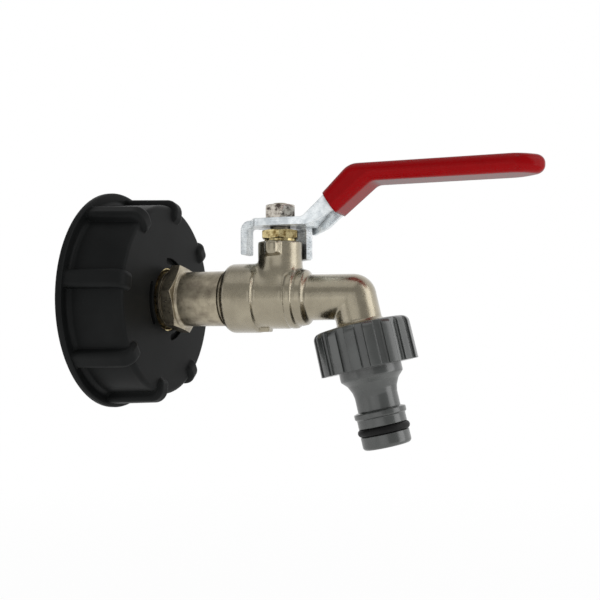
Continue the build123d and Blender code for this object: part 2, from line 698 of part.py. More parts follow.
def lever():
    """Folded steel lever: channel arm, two bent tabs and a flatted hole."""
    steel = slab(*lever_sides(), PAST) & plan(*lever_plan(0), 0, PAST)
    rise = ARM_RISE
    sheet_top = ARM_TOP_Z - PLATE_T
    fold_x = ARM_BEND_X + PLATE_T * 0.414
    fold_back = fold_x - HOLLOW_BACK
    hollow_end = ARM_END_X - HOLLOW_STOP
    under = slab(
        [
            (fold_back, PLATE_Z), (fold_x, PLATE_Z), (fold_x + rise, sheet_top),
            (hollow_end, sheet_top), (hollow_end, 0), (fold_back, 0),
        ],
        [((fold_x, PLATE_Z), HOLLOW_BEND_R), ((fold_x + rise, sheet_top), HOLLOW_LEVEL_R)],
        PAST,
    )
    steel -= under & plan(*lever_plan(ARM_SHEET), 0, PAST)
    # The flange on the stop lug's side is the shallower one.
    trim_x = ARM_BEND_X + TRIM_START
    trim_end = trim_x + TRIM_LEN
    trim = slab(
        [
            (fold_back, PLATE_Z), (trim_x, PLATE_Z), (trim_end, PLATE_Z + TRIM_RISE),
            (trim_end, 0), (fold_back, 0),
        ],
        [((trim_x, PLATE_Z), UNDER_R)],
        ARM_SHEET,
    )
    steel -= Pos(0, -ARM_HALF_W, 0) * trim
    steel += Rot(0, 0, 180) * bent_tab(REAR_TAB_IN, REAR_TAB_BOTTOM, REAR_TAB_W)
    steel += Rot(0, 0, TAB_ANGLE) * bent_tab(SIDE_TAB_IN, SIDE_TAB_BOTTOM, SIDE_TAB_W)
    hole = rod(STUD_R + HOLE_CLEARANCE, 0, PAST)
    hole &= Box(PAST, 2 * (STUD_FLAT + HOLE_CLEARANCE), 2 * PAST)
    return STEM * (steel - hole)


def lever_grip(steel):
    """Dipped grip: the arm's outline grown by the skin, rounded, less the steel."""
    turn, level = lever_under()[1:]
    skin = GRIP_SKIN
    top_z = ARM_TOP_Z + skin
    low_z = level[1] - skin
    start_z = PLATE_TOP + GRIP_START_AT + skin * 2 ** 0.5
    bend_x = ARM_BEND_X + ARM_RISE - skin * 0.414
    level_x = turn[0] + (low_z - turn[1]) * ROOT_SLOPE + skin * 1.3
    foot_x = GRIP_START_X + GRIP_FOOT
    foot_z = low_z - (level_x - foot_x) / ROOT_SLOPE
    side = slab(
        [
            (GRIP_START_X, start_z), (bend_x, top_z), (GRIP_END_X, top_z),
            (GRIP_END_X, low_z), (level_x, low_z), (foot_x, foot_z),
        ],
        [((bend_x, top_z), GRIP_BEND_R), ((level_x, low_z), GRIP_UNDER_R)],
        PAST,
    )
    half = ARM_HALF_W + skin
    point_x = GRIP_END_X - GRIP_POINT
    tip = GRIP_TIP_HALF_W
    shape = plan(
        [
            (0, -half), (point_x, -half), (GRIP_END_X, -tip), (GRIP_END_X, tip),
            (point_x, half), (0, half),
        ],
        [
            ((point_x, -half), GRIP_POINT_R), ((GRIP_END_X, -tip), GRIP_TIP_R),
            ((GRIP_END_X, tip), GRIP_TIP_R), ((point_x, half), GRIP_POINT_R),
        ],
        0,
        PAST,
    )
    bar = side & shape
    outer = bar.edges().filter_by(lambda e: not upright(e) and not at_start(e, foot_x))
    bar = fillet(outer, GRIP_ROUND)
    return STEM * bar - steel


def upright(edge):
    """True for an edge that runs straight up."""
    box = edge.bounding_box()
    return max(box.size.X, box.size.Y) < 0.01


def at_start(edge, foot_x):
    """True for an edge of the sloping face where the grip begins."""
    return edge.bounding_box().max.X < foot_x + 0.01


def lever_nut():
    nut = hexagon(NUT_FLAT_R, PLATE_TOP, NUT_TOP, NUT_TURN, 0, NUT_CHAMFER)
    return STEM * (nut - rod(STUD_R + THREAD_FIT, 0, STUD_TOP))


def tap_connector():
    """Ribbed nut and click nipple in one moulding, turned and then fluted."""
    ring_floor = RING_OUT_R - 2 * RING_BAR_R - RING_GROOVE_GAP
    shoulder = (COLLAR_OUT_R - NIPPLE_STEP, NIPPLE_COLLAR_END + NIPPLE_STEP)
    flare = (WAIST_R + FLARE_FOOT, WAIST_START - NIPPLE_STEP)
    edge = RIDGE_W / 5
    body = turned(
        [
            (CONN_THREAD_R, CONN_TOP), (CONN_R, CONN_TOP), (CONN_R + CONN_FLARE, CONN_BOTTOM),
            (COLLAR_OUT_R, CONN_BOTTOM), (COLLAR_OUT_R, NIPPLE_COLLAR_END), shoulder, flare,
            (WAIST_R, WAIST_START), (WAIST_R, RIDGE_START), (RIDGE_R, RIDGE_START + edge),
            (RIDGE_R, LAND_START - edge), (LAND_R, LAND_START), (LAND_R, GROOVE_START),
            (ring_floor, GROOVE_START), (ring_floor, GROOVE_END), (TIP_R, GROOVE_END),
            (TIP_R, TIP_END), (NIPPLE_BORE_R, TIP_END), (NIPPLE_BORE_R, CONN_FLOOR),
            (CONN_THREAD_R, CONN_FLOOR),
        ],
        [
            ((CONN_R, CONN_TOP), CONN_TOP_ROUND), ((COLLAR_OUT_R, NIPPLE_COLLAR_END), 1.0),
            (shoulder, 1.6), (flare, 2.5), ((WAIST_R, WAIST_START), 3.0),
            ((RIDGE_R, RIDGE_START + edge), 0.4), ((RIDGE_R, LAND_START - edge), 0.4),
            ((TIP_R, TIP_END), TIP_ROUND),
        ],
    )
    height = CONN_BOTTOM - CONN_TOP
    flute = Box(2 * FLUTE_DEPTH, FLUTE_W, height + 2 * CONN_TOP_ROUND)
    flute = chamfer(flute.edges().filter_by(Axis.Z).group_by(Axis.X)[0], FLUTE_CHAMFER)
    for k in range(FLUTE_COUNT):
        # Local +Y of the spout plane is world -Y, the side that faces the viewer.
        angle = 90 - FLUTE_PHASE - k * 360 / FLUTE_COUNT
        body -= Rot(0, 0, angle) * Pos(CONN_R + CONN_FLARE, 0, CONN_TOP + height / 2) * flute
    return SPOUT * body


def connector_oring():
    ring = Torus(RING_OUT_R - RING_BAR_R, RING_BAR_R)
    return SPOUT * Pos(0, 0, RING_AT) * ring


def connector_washer():
    outer = SPOUT_THREAD_R - CONN_WASHER_CLEARANCE
    ring = rod(outer, THREAD_END, CONN_FLOOR) - rod(CONN_WASHER_HOLE_R, 0, CONN_BOTTOM)
    return SPOUT * ring


def main():
    steel = lever()
    pieces = {
        "tank_cap": tank_cap(),
        "cap_seal": cap_seal(),
        "brass_insert": brass_insert(),
        "inlet_tailpiece": inlet_tailpiece(),
        "valve_body": valve_body(),
        "ball": ball(),
        "seat_inlet": seat(-1),
        "seat_outlet": seat(1),
        "stem": stem(),
        "stem_thrust_washer": stem_thrust_washer(),
        "stem_packing": stem_packing(),
        "gland_nut": gland_nut(),
        "lever": steel,
        "lever_grip": lever_grip(steel),
        "lever_nut": lever_nut(),
        "tap_connector": tap_connector(),
        "connector_oring": connector_oring(),
        "connector_washer": connector_washer(),
    }
    for name, shape in pieces.items():
        export_step(shape, f"parts/{name}.step")


os.makedirs("parts", exist_ok=True)
main()
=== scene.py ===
import json
from math import pi

import bmesh
import bpy
from bpy.props import FloatProperty, FloatVectorProperty, IntProperty, PointerProperty
from mathutils import Matrix, Vector


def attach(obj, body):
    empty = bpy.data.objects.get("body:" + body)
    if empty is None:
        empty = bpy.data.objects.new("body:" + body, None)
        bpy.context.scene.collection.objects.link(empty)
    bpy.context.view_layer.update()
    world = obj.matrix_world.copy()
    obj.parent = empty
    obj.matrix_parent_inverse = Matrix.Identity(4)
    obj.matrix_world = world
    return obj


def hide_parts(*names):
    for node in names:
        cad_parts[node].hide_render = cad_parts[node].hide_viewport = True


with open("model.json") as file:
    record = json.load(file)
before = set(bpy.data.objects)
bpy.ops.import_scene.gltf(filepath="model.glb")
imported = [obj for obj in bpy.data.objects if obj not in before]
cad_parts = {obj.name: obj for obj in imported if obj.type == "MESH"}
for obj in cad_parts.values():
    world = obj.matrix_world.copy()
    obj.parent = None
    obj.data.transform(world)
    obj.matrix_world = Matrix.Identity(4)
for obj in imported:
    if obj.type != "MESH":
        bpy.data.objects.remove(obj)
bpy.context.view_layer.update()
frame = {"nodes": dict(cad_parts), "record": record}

bl_info = {
    "name": "Tank outlet valve",
    "version": (1, 0, 0),
    "blender": (4, 5, 0),
    "location": "View3D > Sidebar > Tank valve",
    "description": "Dresses the packed tank valve with its finishes, threads and stage",
    "category": "Object",
}

NODES = frame["nodes"]
MM = 0.001
WELD = 0.001 * MM  # vertices closer than this are joined

# Places in the frame, in millimetres
STEM_X = 64.9  # the stem's axis
NECK_R = 7.75  # the neck's wall
NECK_FOOT = (7.0, 8.0)  # heights at which the neck leaves the chamber
GROOVE_X = STEM_X + 3.4  # the groove beside the neck starts here
LUG_FOOT = 13.0  # the stop lugs stand above this height
LUG_REACH = 4.5  # half their length along the flow
LUG_SKIN = NECK_R + 0.3  # and further out than this, clear of the neck's own wall
CHAMBER_R = 10.75  # the ball chamber's wall
CHAMBER_SKIN = CHAMBER_R - 0.6  # what lies further out is its outer skin
ELBOW_X = 91.2  # the spout's axis starts here
SPOUT_AXIS = (0.22495, 0.0, -0.97437)
SPOUT_THREAD = (10.7, 20.7)  # along the spout's axis
CAP_THREAD = (1.8, 12.4)  # along the cap's axis
MARGIN = 0.5  # added where a zone has to take in its own edge

# Widths of the two smoothed zones round the neck's foot, in millimetres
FOOT_WIDE = 5.0
FOOT_TIGHT = 3.5

# Steps in a turn of a thread ridge
SPOUT_STEPS = 64
CAP_STEPS = 96

# Thread forms, as shares of the pitch
WALL_DEPTH = 0.64  # the spout's wall lies this far below the crest
SPOUT_DEPTH = 0.66  # the ridge goes a little deeper, into the wall
SPOUT_HALF_FOOT = 0.46
SPOUT_HALF_CREST = 0.1
CAP_DEPTH = 0.3
CAP_HALF_FOOT = 0.3
CAP_HALF_CREST = 0.13

# How far a ridge is sunk in its wall, and its end held off the thread's end
SINK = 0.1 * MM
RUN_OUT = 0.2 * MM

EDGE_SAMPLES = 6
HOLLOW_SAMPLES = 8
HOLLOW_RANGE = (0.15, 0.8)  # openness of a closed corner and of a free surface
CREVICE_SHADE = 0.3  # share of the colour that the painted shade leaves in a closed corner

# Levels of the world and the floor, where 1 is white
BACKDROP_WAY = (0.15, 0.98, -0.1)  # from the valve to the middle of the backdrop
ROOM_LEVEL = 0.4  # what gloss sees on the camera's side
BACKDROP_EDGE = (0.0, 0.6)  # cosines from that way where the room ends and white starts
ROOM_LIGHT = 0.75  # light from the room and the backdrop
FLOOR_GLOSS = 0.28  # what gloss sees in the floor
FLOOR_BOUNCE = 1.6  # light that the floor gives back to undersides
FLOOR_HALF = 6.0  # half the floor's side, in metres
SHADOW_REACH = (0.25, 0.8)  # shadows on the floor fade out between these, in metres
SHADOW_CLEAR = 0.9  # share of white that hides a shadow close to the valve

# Name, place, target, width and height in metres, power in watts
SOFTBOXES = (
    ("softbox_right", (0.8, 0.03, 0.15), (0.08, 0.0, 0.0), 0.42, 1.2, 2.6),
    ("softbox_top", (0.0, -0.3, 0.8), (0.06, 0.0, 0.0), 0.7, 0.7, 0.72),
    ("softbox_front", (0.1, -1.1, -0.02), (0.05, 0.0, 0.0), 0.9, 0.9, 1.25),
    ("softbox_left", (-0.68, -0.56, 0.12), (0.06, 0.0, 0.0), 0.55, 0.8, 0.7),
)

LENS = 53.45
CAMERA_PLACE = (0.1709, -0.2902, -0.0111)
CAMERA_AHEAD = (-0.3222, 0.9461, 0.0334)
CAMERA_UP = (0.0135, -0.0307, 0.9995)


def linear(hex_colour):
    """sRGB hex, such as #8a0d12, as linear RGBA."""
    parts = [int(hex_colour[i:i + 2], 16) / 255 for i in (1, 3, 5)]
    rgb = [c / 12.92 if c <= 0.04045 else ((c + 0.055) / 1.055) ** 2.4 for c in parts]
    return (*rgb, 1.0)


def put(tree, kind, inputs=None, stops=None, **settings):
    """Adds a node: settings are its own properties, inputs are values or output sockets."""
    node = tree.nodes.new(kind)
    for name, value in settings.items():
        setattr(node, name, value)
    for key, value in (inputs or {}).items():
        socket = node.inputs[key]
        if isinstance(value, bpy.types.NodeSocket):
            tree.links.new(value, socket)
        else:
            socket.default_value = value
    if stops:
        elements = node.color_ramp.elements
        while len(elements) < len(stops):
            elements.new(0.5)
        for element, (position, colour) in zip(elements, stops):
            element.position = position
            element.color = colour
    return node


def grey(value):
    """A neutral colour of that level."""
    return (value, value, value, 1.0)


def toned(name, share):
    """A colour of the settings, made darker or lighter by a share, as RGBA."""
    colour = getattr(bpy.context.scene.tank_valve, name)
    return (*(channel * share for channel in colour), 1.0)


def blank(name):
    """An empty node material: returns it, its tree and its object coordinates."""
    material = bpy.data.materials.new(name)
    material.use_nodes = True
    tree = material.node_tree
    tree.nodes.clear()
    return material, tree, put(tree, "ShaderNodeTexCoord").outputs["Object"]


def shaded(tree, colour, depth):
    """The colour darkened where the surface is closed in: painted shade for the shadow in
    corners, creases and gaps between parts.
    """
    # Painted shade: ambient occlusion darkens the colour itself in closed corners.
    hollow = put(
        tree, "ShaderNodeAmbientOcclusion", {"Distance": depth}, samples=HOLLOW_SAMPLES)
    dim = put(tree, "ShaderNodeMapRange", {
        "Value": hollow.outputs["AO"], "From Min": HOLLOW_RANGE[0],
        "From Max": HOLLOW_RANGE[1], "To Min": CREVICE_SHADE, "To Max": 1.0})
    mix = put(tree, "ShaderNodeVectorMath", {
        0: colour, 1: dim.outputs["Result"]}, operation="MULTIPLY")
    return mix.outputs["Vector"]


def nickel_turned():
    """Nickel plate over turned brass: warm grey metal, fine rings left by the tool."""
    material, tree, place = blank("nickel_plated_brass_turned")
    tone = put(tree, "ShaderNodeTexNoise", {
        "Vector": place, "Scale": 1 / (3.5 * MM), "Detail": 6.0, "Roughness": 0.62})
    tint = put(tree, "ShaderNodeValToRGB", {"Fac": tone.outputs["Fac"]}, stops=[
        (0.34, linear("#8b8170")), (0.6, linear("#b3a993"))])
    # Tool rings are really about 0.1 mm apart; drawn at 0.35 mm so that they show.
    rings = put(tree, "ShaderNodeMapping", {
        "Vector": place, "Scale": (1 / (0.35 * MM), 30.0, 30.0)})
    ring = put(tree, "ShaderNodeTexNoise", {
        "Vector": rings.outputs[0], "Scale": 1.0, "Detail": 2.0})
    blotch = put(tree, "ShaderNodeTexNoise", {
        "Vector": place, "Scale": 1 / (1.2 * MM), "Detail": 5.0, "Roughness": 0.65})
    rough = put(tree, "ShaderNodeMapRange", {
        "Value": blotch.outputs["Fac"], "To Min": 0.16, "To Max": 0.46})
    edge = put(tree, "ShaderNodeBevel", {"Radius": 0.25 * MM}, samples=EDGE_SAMPLES)
    bump = put(tree, "ShaderNodeBump", {
        "Height": ring.outputs["Fac"], "Strength": 0.1, "Distance": 0.02 * MM,
        "Normal": edge.outputs["Normal"]})
    # The base colour carries painted shade in closed corners.
    shader = put(tree, "ShaderNodeBsdfPrincipled", {
        "Base Color": shaded(tree, tint.outputs["Color"], 3 * MM), "Metallic": 1.0,
        "Roughness": rough.outputs["Result"], "Coat Weight": 0.3, "Coat Roughness": 0.12,
        "Normal": bump.outputs["Normal"]})
    put(tree, "ShaderNodeOutputMaterial", {"Surface": shader.outputs["BSDF"]})
    return material


def nickel_bright():
    """Bright nickel on the small nut: mirror-like facets, with dark reflections painted into
    the colour in patches, rougher where scuffed.
    """
    material, tree, place = blank("nickel_plated_steel_bright")
    # Painted reflection: this noise paints dark patches into the base colour for dark things
    # mirrored in the facets; it also roughens those spots, as scuffs.
    reflection_and_scuff = put(tree, "ShaderNodeTexNoise", {
        "Vector": place, "Scale": 1 / (2.4 * MM), "Detail": 5.0, "Roughness": 0.7})
    tint = put(tree, "ShaderNodeValToRGB", {"Fac": reflection_and_scuff.outputs["Fac"]}, stops=[
        (0.4, linear("#4e4540")), (0.5, linear("#c0b9ae")), (0.7, linear("#e6e1d8"))])
    rough = put(tree, "ShaderNodeMapRange", {
        "Value": reflection_and_scuff.outputs["Fac"], "To Min": 0.2, "To Max": 0.05})
    edge = put(tree, "ShaderNodeBevel", {"Radius": 0.25 * MM}, samples=EDGE_SAMPLES)
    # The base colour also carries painted shade in closed corners.
    shader = put(tree, "ShaderNodeBsdfPrincipled", {
        "Base Color": shaded(tree, tint.outputs["Color"], 1.5 * MM), "Metallic": 1.0,
        "Roughness": rough.outputs["Result"], "Normal": edge.outputs["Normal"]})
    put(tree, "ShaderNodeOutputMaterial", {"Surface": shader.outputs["BSDF"]})
    return material


def nickel_cast():
    """Nickel plate over blasted cast brass: same warm grey, broken up by fine grit."""
    material, tree, place = blank("nickel_plated_brass_cast")
    tone = put(tree, "ShaderNodeTexNoise", {
        "Vector": place, "Scale": 1 / (7 * MM), "Detail": 4.0})
    tint = put(tree, "ShaderNodeValToRGB", {"Fac": tone.outputs["Fac"]}, stops=[
        (0.3, linear("#928975")), (0.72, linear("#a89f89"))])
    # Blasting grit leaves dimples of about 0.3 mm; drawn at 0.7 mm so that they show.
    grit = put(tree, "ShaderNodeTexNoise", {
        "Vector": place, "Scale": 1 / (0.7 * MM), "Detail": 4.0, "Roughness": 0.65})
    swell = put(tree, "ShaderNodeTexNoise", {
        "Vector": place, "Scale": 1 / (4 * MM), "Detail": 1.0})
    rough = put(tree, "ShaderNodeMapRange", {
        "Value": grit.outputs["Fac"], "To Min": 0.16, "To Max": 0.42})
    edge = put(tree, "ShaderNodeBevel", {"Radius": 0.5 * MM}, samples=EDGE_SAMPLES)
    wave = put(tree, "ShaderNodeBump", {
        "Height": swell.outputs["Fac"], "Strength": 0.3, "Distance": 0.12 * MM,
        "Normal": edge.outputs["Normal"]})
    bump = put(tree, "ShaderNodeBump", {
        "Height": grit.outputs["Fac"], "Strength": 0.55, "Distance": 0.08 * MM,
        "Normal": wave.outputs["Normal"]})
    # The base colour carries painted shade in closed corners.
    shader = put(tree, "ShaderNodeBsdfPrincipled", {
        "Base Color": shaded(tree, tint.outputs["Color"], 4 * MM), "Metallic": 1.0,
        "Roughness": rough.outputs["Result"],
        "Coat Weight": 0.7, "Coat Roughness": 0.14, "Coat IOR": 1.7,
        "Normal": bump.outputs["Normal"]})
    put(tree, "ShaderNodeOutputMaterial", {"Surface": shader.outputs["BSDF"]})
    return material


def brass_turned():
    """Bare turned brass: yellow metal, slightly dulled in patches."""
    material, tree, place = blank("brass_turned")
    dull = put(tree, "ShaderNodeTexNoise", {
        "Vector": place, "Scale": 1 / (2 * MM), "Detail": 5.0, "Roughness": 0.6})
    tint = put(tree, "ShaderNodeValToRGB", {"Fac": dull.outputs["Fac"]}, stops=[
        (0.38, linear("#7c6536")), (0.6, linear("#e0cf9c"))])
    rough = put(tree, "ShaderNodeMapRange", {
        "Value": dull.outputs["Fac"], "To Min": 0.26, "To Max": 0.12})
    edge = put(tree, "ShaderNodeBevel", {"Radius": 0.2 * MM}, samples=EDGE_SAMPLES)
    # The base colour carries painted shade in closed corners, such as under the lever plate.
    shader = put(tree, "ShaderNodeBsdfPrincipled", {
        "Base Color": shaded(tree, tint.outputs["Color"], 1.5 * MM), "Metallic": 1.0,
        "Roughness": rough.outputs["Result"], "Normal": edge.outputs["Normal"]})
    put(tree, "ShaderNodeOutputMaterial", {"Surface": shader.outputs["BSDF"]})
    return material


def zinc_steel():
    """Zinc-plated sheet steel: cool light grey with soft blotches and fine scuffs."""
    material, tree, place = blank("zinc_plated_steel_sheet")
    cloud = put(tree, "ShaderNodeTexNoise", {
        "Vector": place, "Scale": 1 / (2.5 * MM), "Detail": 5.0, "Roughness": 0.6})
    tint = put(tree, "ShaderNodeValToRGB", {"Fac": cloud.outputs["Fac"]}, stops=[
        (0.36, linear("#c9d0d4")), (0.6, linear("#eef3f5"))])
    # Scuffs are really about 0.1 mm wide; drawn 0.5 mm wide so that they show.
    reflection_and_scuff = put(tree, "ShaderNodeMapping", {
        "Vector": place, "Scale": (1 / (6 * MM), 1 / (0.5 * MM), 1 / (0.5 * MM))})
    lines = put(tree, "ShaderNodeTexNoise", {
        "Vector": reflection_and_scuff.outputs[0], "Scale": 1.0, "Detail": 4.0})
    rough = put(tree, "ShaderNodeMapRange", {
        "Value": lines.outputs["Fac"], "To Min": 0.16, "To Max": 0.42})
    edge = put(tree, "ShaderNodeBevel", {"Radius": 0.45 * MM}, samples=EDGE_SAMPLES)
    bump = put(tree, "ShaderNodeBump", {
        "Height": lines.outputs["Fac"], "Strength": 0.35, "Distance": 0.05 * MM,
        "Normal": edge.outputs["Normal"]})
    # The base colour carries painted shade under the plate and inside the channel.
    shader = put(tree, "ShaderNodeBsdfPrincipled", {
        "Base Color": shaded(tree, tint.outputs["Color"], 2.5 * MM), "Metallic": 0.45,
        "Roughness": rough.outputs["Result"], "Normal": bump.outputs["Normal"]})
    put(tree, "ShaderNodeOutputMaterial", {"Surface": shader.outputs["BSDF"]})
    return material


def vinyl_dipped():
    """Dipped vinyl: glossy red skin with a soft orange-peel ripple."""
    material, tree, place = blank("vinyl_dipped_red")
    peel = put(tree, "ShaderNodeTexNoise", {
        "Vector": place, "Scale": 1 / (3 * MM), "Detail": 2.0})
    tint = put(tree, "ShaderNodeValToRGB", {"Fac": peel.outputs["Fac"]}, stops=[
        (0.3, toned("grip_colour", 0.97)), (0.7, toned("grip_colour", 1.03))])
    edge = put(tree, "ShaderNodeBevel", {"Radius": 1.4 * MM}, samples=EDGE_SAMPLES)
    bump = put(tree, "ShaderNodeBump", {
        "Height": peel.outputs["Fac"], "Strength": 0.12, "Distance": 0.1 * MM,
        "Normal": edge.outputs["Normal"]})
    rough = put(tree, "ShaderNodeMapRange", {
        "Value": peel.outputs["Fac"], "To Min": 0.06, "To Max": 0.1})
    shader = put(tree, "ShaderNodeBsdfPrincipled", {
        "Base Color": tint.outputs["Color"], "Roughness": rough.outputs["Result"],
        "IOR": 1.42, "Specular IOR Level": 0.1, "Normal": bump.outputs["Normal"]})
    put(tree, "ShaderNodeOutputMaterial", {"Surface": shader.outputs["BSDF"]})
    return material


def polypropylene_moulded():
    """Black moulded polypropylene: dark satin with a fine spark-eroded grain."""
    material, tree, place = blank("polypropylene_moulded_black")
    cloud = put(tree, "ShaderNodeTexNoise", {
        "Vector": place, "Scale": 1 / (14 * MM), "Detail": 3.0})
    tint = put(tree, "ShaderNodeValToRGB", {"Fac": cloud.outputs["Fac"]}, stops=[
        (0.3, toned("cap_colour", 0.82)), (0.7, toned("cap_colour", 1.18))])
    # Spark-eroded grain is really about 0.1 mm; drawn at 0.5 mm so that it shows.
    grain = put(tree, "ShaderNodeTexNoise", {
        "Vector": place, "Scale": 1 / (0.5 * MM), "Detail": 3.0, "Roughness": 0.6})
    rough = put(tree, "ShaderNodeMapRange", {
        "Value": grain.outputs["Fac"], "To Min": 0.36, "To Max": 0.52})
    edge = put(tree, "ShaderNodeBevel", {"Radius": 0.4 * MM}, samples=EDGE_SAMPLES)
    bump = put(tree, "ShaderNodeBump", {
        "Height": grain.outputs["Fac"], "Strength": 0.25, "Distance": 0.04 * MM,
        "Normal": edge.outputs["Normal"]})
    shader = put(tree, "ShaderNodeBsdfPrincipled", {
        "Base Color": tint.outputs["Color"], "Roughness": rough.outputs["Result"],
        "IOR": 1.49, "Specular IOR Level": 0.07, "Normal": bump.outputs["Normal"]})
    put(tree, "ShaderNodeOutputMaterial", {"Surface": shader.outputs["BSDF"]})
    return material


def acetal_moulded():
    """Grey moulded acetal: satin skin with faint flow marks."""
    material, tree, place = blank("acetal_moulded_grey")
    flow = put(tree, "ShaderNodeTexNoise", {
        "Vector": place, "Scale": 1 / (6 * MM), "Detail": 3.0})
    tint = put(tree, "ShaderNodeValToRGB", {"Fac": flow.outputs["Fac"]}, stops=[
        (0.3, toned("connector_colour", 0.82)), (0.7, toned("connector_colour", 1.18))])
    # The tool's polish marks are really about 0.1 mm; drawn at 0.6 mm so that they show.
    grain = put(tree, "ShaderNodeTexNoise", {
        "Vector": place, "Scale": 1 / (0.6 * MM), "Detail": 2.0})
    rough = put(tree, "ShaderNodeMapRange", {
        "Value": grain.outputs["Fac"], "To Min": 0.2, "To Max": 0.3})
    edge = put(tree, "ShaderNodeBevel", {"Radius": 0.5 * MM}, samples=EDGE_SAMPLES)
    bump = put(tree, "ShaderNodeBump", {
        "Height": grain.outputs["Fac"], "Strength": 0.08, "Distance": 0.03 * MM,
        "Normal": edge.outputs["Normal"]})
    # The base colour carries painted shade under the nut and in the flutes.
    shader = put(tree, "ShaderNodeBsdfPrincipled", {
        "Base Color": shaded(tree, tint.outputs["Color"], 3.2 * MM),
        "Roughness": rough.outputs["Result"], "IOR": 1.55, "Specular IOR Level": 0.8,
        "Coat Weight": 0.2, "Coat Roughness": 0.07, "Normal": bump.outputs["Normal"]})
    put(tree, "ShaderNodeOutputMaterial", {"Surface": shader.outputs["BSDF"]})
    return material


def rubber_moulded():
    """Black nitrile rubber: near black, dull, with a trace of bloom."""
    material, tree, place = blank("rubber_moulded_black")
    bloom = put(tree, "ShaderNodeTexNoise", {
        "Vector": place, "Scale": 1 / (2 * MM), "Detail": 4.0})
    tint = put(tree, "ShaderNodeValToRGB", {"Fac": bloom.outputs["Fac"]}, stops=[
        (0.35, linear("#080808")), (0.75, linear("#101010"))])
    rough = put(tree, "ShaderNodeMapRange", {
        "Value": bloom.outputs["Fac"], "To Min": 0.4, "To Max": 0.6})
    shader = put(tree, "ShaderNodeBsdfPrincipled", {
        "Base Color": tint.outputs["Color"], "Roughness": rough.outputs["Result"],
        "Specular IOR Level": 0.2})
    put(tree, "ShaderNodeOutputMaterial", {"Surface": shader.outputs["BSDF"]})
    return material


def ptfe_skived():
    """Skived PTFE: waxy, faintly uneven white."""
    material, tree, place = blank("ptfe_skived_white")
    wax = put(tree, "ShaderNodeTexNoise", {
        "Vector": place, "Scale": 1 / (1.5 * MM), "Detail": 2.0})
    tint = put(tree, "ShaderNodeValToRGB", {"Fac": wax.outputs["Fac"]}, stops=[
        (0.3, linear("#e2e1dc")), (0.7, linear("#eeede9"))])
    shader = put(tree, "ShaderNodeBsdfPrincipled", {
        "Base Color": tint.outputs["Color"], "Roughness": 0.4, "IOR": 1.35})
    put(tree, "ShaderNodeOutputMaterial", {"Surface": shader.outputs["BSDF"]})
    return material


def chrome_polished():
    """Hard chrome on a lapped ball: bright mirror with faint lapping haze."""
    material, tree, place = blank("chrome_polished")
    haze = put(tree, "ShaderNodeTexNoise", {
        "Vector": place, "Scale": 1 / (1 * MM), "Detail": 3.0})
    rough = put(tree, "ShaderNodeMapRange", {
        "Value": haze.outputs["Fac"], "To Min": 0.06, "To Max": 0.14})
    shader = put(tree, "ShaderNodeBsdfPrincipled", {
        "Base Color": linear("#cfd1d2"), "Metallic": 1.0, "Roughness": rough.outputs["Result"]})
    put(tree, "ShaderNodeOutputMaterial", {"Surface": shader.outputs["BSDF"]})
    return material


# The material of each record slot, and of this script's own finishes
FINISHES = {
    "black_pp": polypropylene_moulded,
    "black_rubber": rubber_moulded,
    "brass": brass_turned,
    "brass_stem": nickel_turned,
    "nickel": nickel_turned,
    "nickel_cast": nickel_cast,
    "nickel_bright": nickel_bright,
    "chrome_ball": chrome_polished,
    "ptfe": ptfe_skived,
    "zinc_steel": zinc_steel,
    "red_vinyl": vinyl_dipped,
    "grey_plastic": acetal_moulded,
}
MADE = {}  # the materials built so far, by function name


def finish_of(slot):
    """The material of a record slot, built once."""
    build = FINISHES[slot]
    if build.__name__ not in MADE:
        MADE[build.__name__] = build()
    return MADE[build.__name__]


class TankValveSettings(bpy.types.PropertyGroup):
    """Sizes and colours that a user would change."""
    cast_cell: FloatProperty(
        name="Casting cell", description="Edge of the even cells of the cast body's skin",
        default=0.36 * MM, min=0.3 * MM, max=1.0 * MM, unit="LENGTH", precision=5)
    foot_blend: IntProperty(
        name="Neck foot blend",
        description="Rounds of smoothing where the neck meets the chamber",
        default=60, min=0, max=200)
    lug_wear: IntProperty(
        name="Stop lug wear", description="Rounds of smoothing on the stop lugs' edges",
        default=24, min=0, max=60)
    spout_pitch: FloatProperty(
        name="Spout pitch", description="Pitch of the pipe thread on the spout",
        default=1.814 * MM, min=1.0 * MM, max=3.0 * MM, unit="LENGTH", precision=5)
    spout_radius: FloatProperty(
        name="Spout thread radius", description="Radius of the crest of the pipe thread",
        default=13.05 * MM, min=12.5 * MM, max=13.1 * MM, unit="LENGTH", precision=5)
    cap_pitch: FloatProperty(
        name="Cap pitch", description="Pitch of the coarse thread inside the cap",
        default=6.0 * MM, min=4.0 * MM, max=8.0 * MM, unit="LENGTH", precision=5)
    cap_radius: FloatProperty(
        name="Cap thread radius",
        description="Radius of the plain wall that carries the thread",
        default=30.25 * MM, min=29.0 * MM, max=30.5 * MM, unit="LENGTH", precision=5)
    floor_drop: FloatProperty(
        name="Floor drop", description="Height of the valve's axis above the floor",
        default=0.2, min=0.06, max=1.0, unit="LENGTH")
    grip_colour: FloatVectorProperty(
        name="Grip colour", description="Colour of the dipped vinyl grip",
        default=linear("#7f0408")[:3], min=0.0, max=1.0, subtype="COLOR")
    connector_colour: FloatVectorProperty(
        name="Connector colour", description="Colour of the moulded tap connector",
        default=linear("#333634")[:3], min=0.0, max=1.0, subtype="COLOR")
    cap_colour: FloatVectorProperty(
        name="Cap colour", description="Colour of the moulded tank cap",
        default=linear("#141515")[:3], min=0.0, max=1.0, subtype="COLOR")


